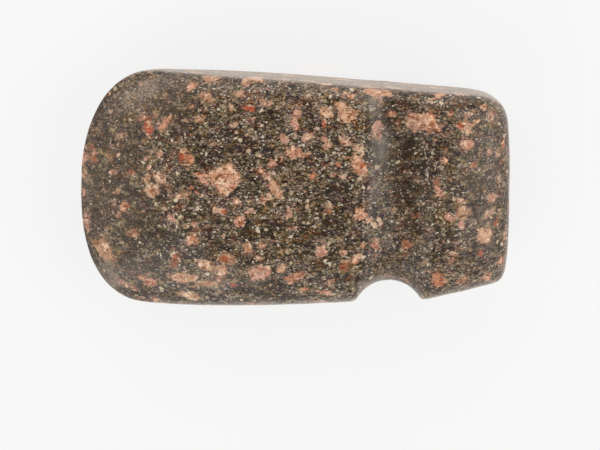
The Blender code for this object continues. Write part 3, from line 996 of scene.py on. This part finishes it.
def hidden_crystals(head, camera, chance):
    """Crystals strewn over the faces that the camera doesn't see, no two of them close together."""
    unseen, areas = unseen_faces(head, camera)
    found = []
    for face in chance.choices(unseen, areas, k=TRIES_EACH * CRYSTALS_HIDDEN):
        if len(found) == CRYSTALS_HIDDEN:
            break
        if any((face.center - other[0]).length < HIDDEN_SPACING * chance.uniform(*SPACING_SHARES)
               for other in found):
            continue
        long = min(chance.lognormvariate(*HIDDEN_LENGTHS), LONGEST_HIDDEN)
        crystal = Crystal(0, 0, long, long * chance.uniform(*HIDDEN_WIDTHS), chance.uniform(0.0, 180.0))
        found.append((face.center.copy(), face.normal.copy(), crystal, chance.choice(HIDDEN_TINTS)))
    return found


def place_crystals(head, camera, surface):
    """Keeps, for each vertex, how deep it lies in the nearest large crystal, and that crystal's tint."""
    chance = random.Random(SHAPE_SEED)
    placed = []
    for tint, crystals in CRYSTALS_SEEN.items():
        for crystal in map(Crystal._make, crystals):
            place, normal = seen_place(camera, surface, crystal.across, crystal.down)
            placed.append((place, normal, crystal, tint))
    placed += hidden_crystals(head, camera, random.Random(STREWING_SEED))

    places = vertex_places(head)
    depth = np.full(len(places), -FAR_FROM_CRYSTALS)
    tints = np.zeros(len(places))
    for place, normal, crystal, tint in placed:
        inside = crystal_depth(places, place, normal, crystal, chance)
        tints = np.where((inside > 0.0) | (inside > depth), tint, tints)
        depth = np.maximum(depth, inside)
    set_attribute(head, "crystal_depth", depth)
    set_attribute(head, "crystal_tint", tints)


def area_strength(places, place, normal, area):
    """How strongly one broad area touches each place. It fades out like a bell."""
    along, beside, above = shares_from(places, place, normal, area)
    return area.strength * np.exp(-(along * along + beside * beside + above * above))


def hidden_areas(head, camera, chance):
    """Broad dark and pale areas over the faces that the camera doesn't see."""
    unseen, areas = unseen_faces(head, camera)
    found = []
    for face in chance.choices(unseen, areas, k=AREAS_HIDDEN):
        area = Area(0, 0, chance.uniform(*AREA_LENGTHS), chance.uniform(*AREA_WIDTHS),
                    chance.uniform(0.0, 180.0), chance.choice(HIDDEN_STRENGTHS))
        found.append((face.center.copy(), face.normal.copy(), area))
    return found


def place_areas(head, camera, surface):
    """Keeps how much darker the ground is at each vertex, how strong its painted reflection haze is and how
    calm it is.
    """
    places = vertex_places(head)
    darkness = np.zeros(len(places))
    for area in map(Area._make, GROUND_AREAS):
        place, normal = seen_place(camera, surface, area.across, area.down)
        darkness += area_strength(places, place, normal, area)
    for place, normal, area in hidden_areas(head, camera, random.Random(AREA_SEED)):
        darkness += area_strength(places, place, normal, area)
    set_attribute(head, "darkness", darkness)
    for name, areas in (("painted_haze", PAINTED_HAZE_AREAS), ("calm", CALM_AREAS)):
        strength = np.zeros(len(places))
        for area in map(Area._make, areas):
            place, normal = seen_place(camera, surface, area.across, area.down)
            strength = np.maximum(strength, area_strength(places, place, normal, area))
        set_attribute(head, name, strength)


def place_rows(head, camera, surface):
    """Keeps how far each vertex lies to the left or right of the nearest row of pecks, in millimetres."""
    places = vertex_places(head)
    nearest = np.full(len(places), FAR_FROM_ROWS)
    for row in PECKED_ROWS:
        start, normal = seen_place(camera, surface, row.across, row.down)
        end, _ = seen_place(camera, surface, row.across_end, row.down_end)
        run = (end - start).normalized()
        side = normal.cross(run).normalized()
        offset = (places - np.array(start)) / MM
        along = offset @ np.array(run)
        beside = offset @ np.array(side)
        past = np.maximum(-along, along - (end - start).length / MM)
        above = np.abs(offset @ np.array(normal))
        beside = np.where((past > 0.0) | (above > ROW_DEPTH), FAR_FROM_ROWS, beside)
        nearest = np.where(np.abs(beside) < np.abs(nearest), beside, nearest)
    set_attribute(head, "row_offset", nearest)


# Camera, floor and light

def make_camera():
    """Looks down on the head from the photograph's angle, with the head where the photograph has it."""
    middle = 0.5 * (cad_low + cad_high)
    pixels_per_metre = HEAD_SPAN / (cad_high.x - cad_low.x)
    aim = middle + Vector((
        (PHOTO_WIDTH / 2 - HEAD_MIDDLE_ACROSS) / pixels_per_metre,
        (HEAD_MIDDLE_DOWN - PHOTO_HEIGHT / 2) / pixels_per_metre,
        0.0,
    ))
    place = middle + VIEW_DISTANCE * Vector((0.0, math.sin(VIEW_TILT), math.cos(VIEW_TILT)))
    back = (place - aim).normalized()
    turn = (-math.asin(back.y), math.atan2(back.x, back.z), 0.0)
    bpy.ops.object.camera_add(location=place, rotation=turn)
    camera = bpy.context.object
    camera.data.sensor_width = SENSOR_WIDTH
    camera.data.lens = SENSOR_WIDTH * pixels_per_metre * VIEW_DISTANCE / PHOTO_WIDTH
    camera.data.clip_start = 0.01
    camera.data.clip_end = 20.0
    bpy.context.scene.camera = camera
    return camera


def make_floor():
    """A plain floor that glows as a light table does, so that it looks near white."""
    bpy.ops.object.select_all(action="DESELECT")
    bpy.ops.mesh.primitive_plane_add(size=FLOOR_SIZE, location=(0.0, 0.0, -FLOOR_DROP))
    floor = bpy.context.object
    floor.name = "floor"
    material = bpy.data.materials.new("white_floor")
    material.use_nodes = True
    shader = material.node_tree.nodes["Principled BSDF"]
    shader.inputs["Base Color"].default_value = FLOOR_COLOUR
    shader.inputs["Roughness"].default_value = 0.9
    shader.inputs["Specular IOR Level"].default_value = 0.0
    shader.inputs["Emission Color"].default_value = (1.0, 1.0, 1.0, 1.0)
    shader.inputs["Emission Strength"].default_value = FLOOR_GLOW
    floor.data.materials.append(material)


def add_softbox(box):
    """An oblong soft light, turned towards the head. The camera doesn't see it."""
    bpy.ops.object.light_add(type="AREA", location=box.place)
    light = bpy.context.object
    light.name = box.name
    light.rotation_euler = Vector(box.place).to_track_quat("Z", "Y").to_euler()
    light.visible_camera = False
    light.data.shape = "RECTANGLE"
    light.data.size = box.width
    light.data.size_y = box.height
    light.data.energy = box.power
    light.data.color = box.colour


def make_sky():
    """A studio's white walls, with a dim ceiling above the camera."""
    world = bpy.data.worlds.new("studio")
    world.use_nodes = True
    tree = world.node_tree
    direction = add_node(tree, "ShaderNodeTexCoord").outputs["Generated"]
    height = add_node(tree, "ShaderNodeSeparateXYZ", {"Vector": direction}).outputs["Z"]
    colour = mixed(tree, fade(tree, height, *SKY_DIMS), SKY_LOW, SKY_OVERHEAD)
    feed(tree, tree.nodes["Background"].inputs["Color"], colour)
    bpy.context.scene.world = world


def make_light():
    """The sky, two soft lights on the flat back, low and high, and one each on the poll and the belly."""
    bpy.context.scene.view_settings.view_transform = "Standard"
    make_sky()
    for box in SOFTBOXES:
        add_softbox(box)


camera = make_camera()
head = make_head()
surface = head_surface(head)
# Paleness of sharp edges: rubbed wear and a painted highlight
wear_and_highlight = (edge_curvature(head) - WEAR_AND_HIGHLIGHT_STARTS) / (WEAR_AND_HIGHLIGHT_FULL - WEAR_AND_HIGHLIGHT_STARTS)
set_attribute(head, "edge_wear_and_highlight", smooth_step(wear_and_highlight))
set_attribute(head, "groove", groove_share(vertex_places(head)))
place_crystals(head, camera, surface)
place_areas(head, camera, surface)
place_rows(head, camera, surface)
head.data.materials.clear()
head.data.materials.append(make_stone())
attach(head, "root")
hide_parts("axe_head")

make_floor()
make_light()
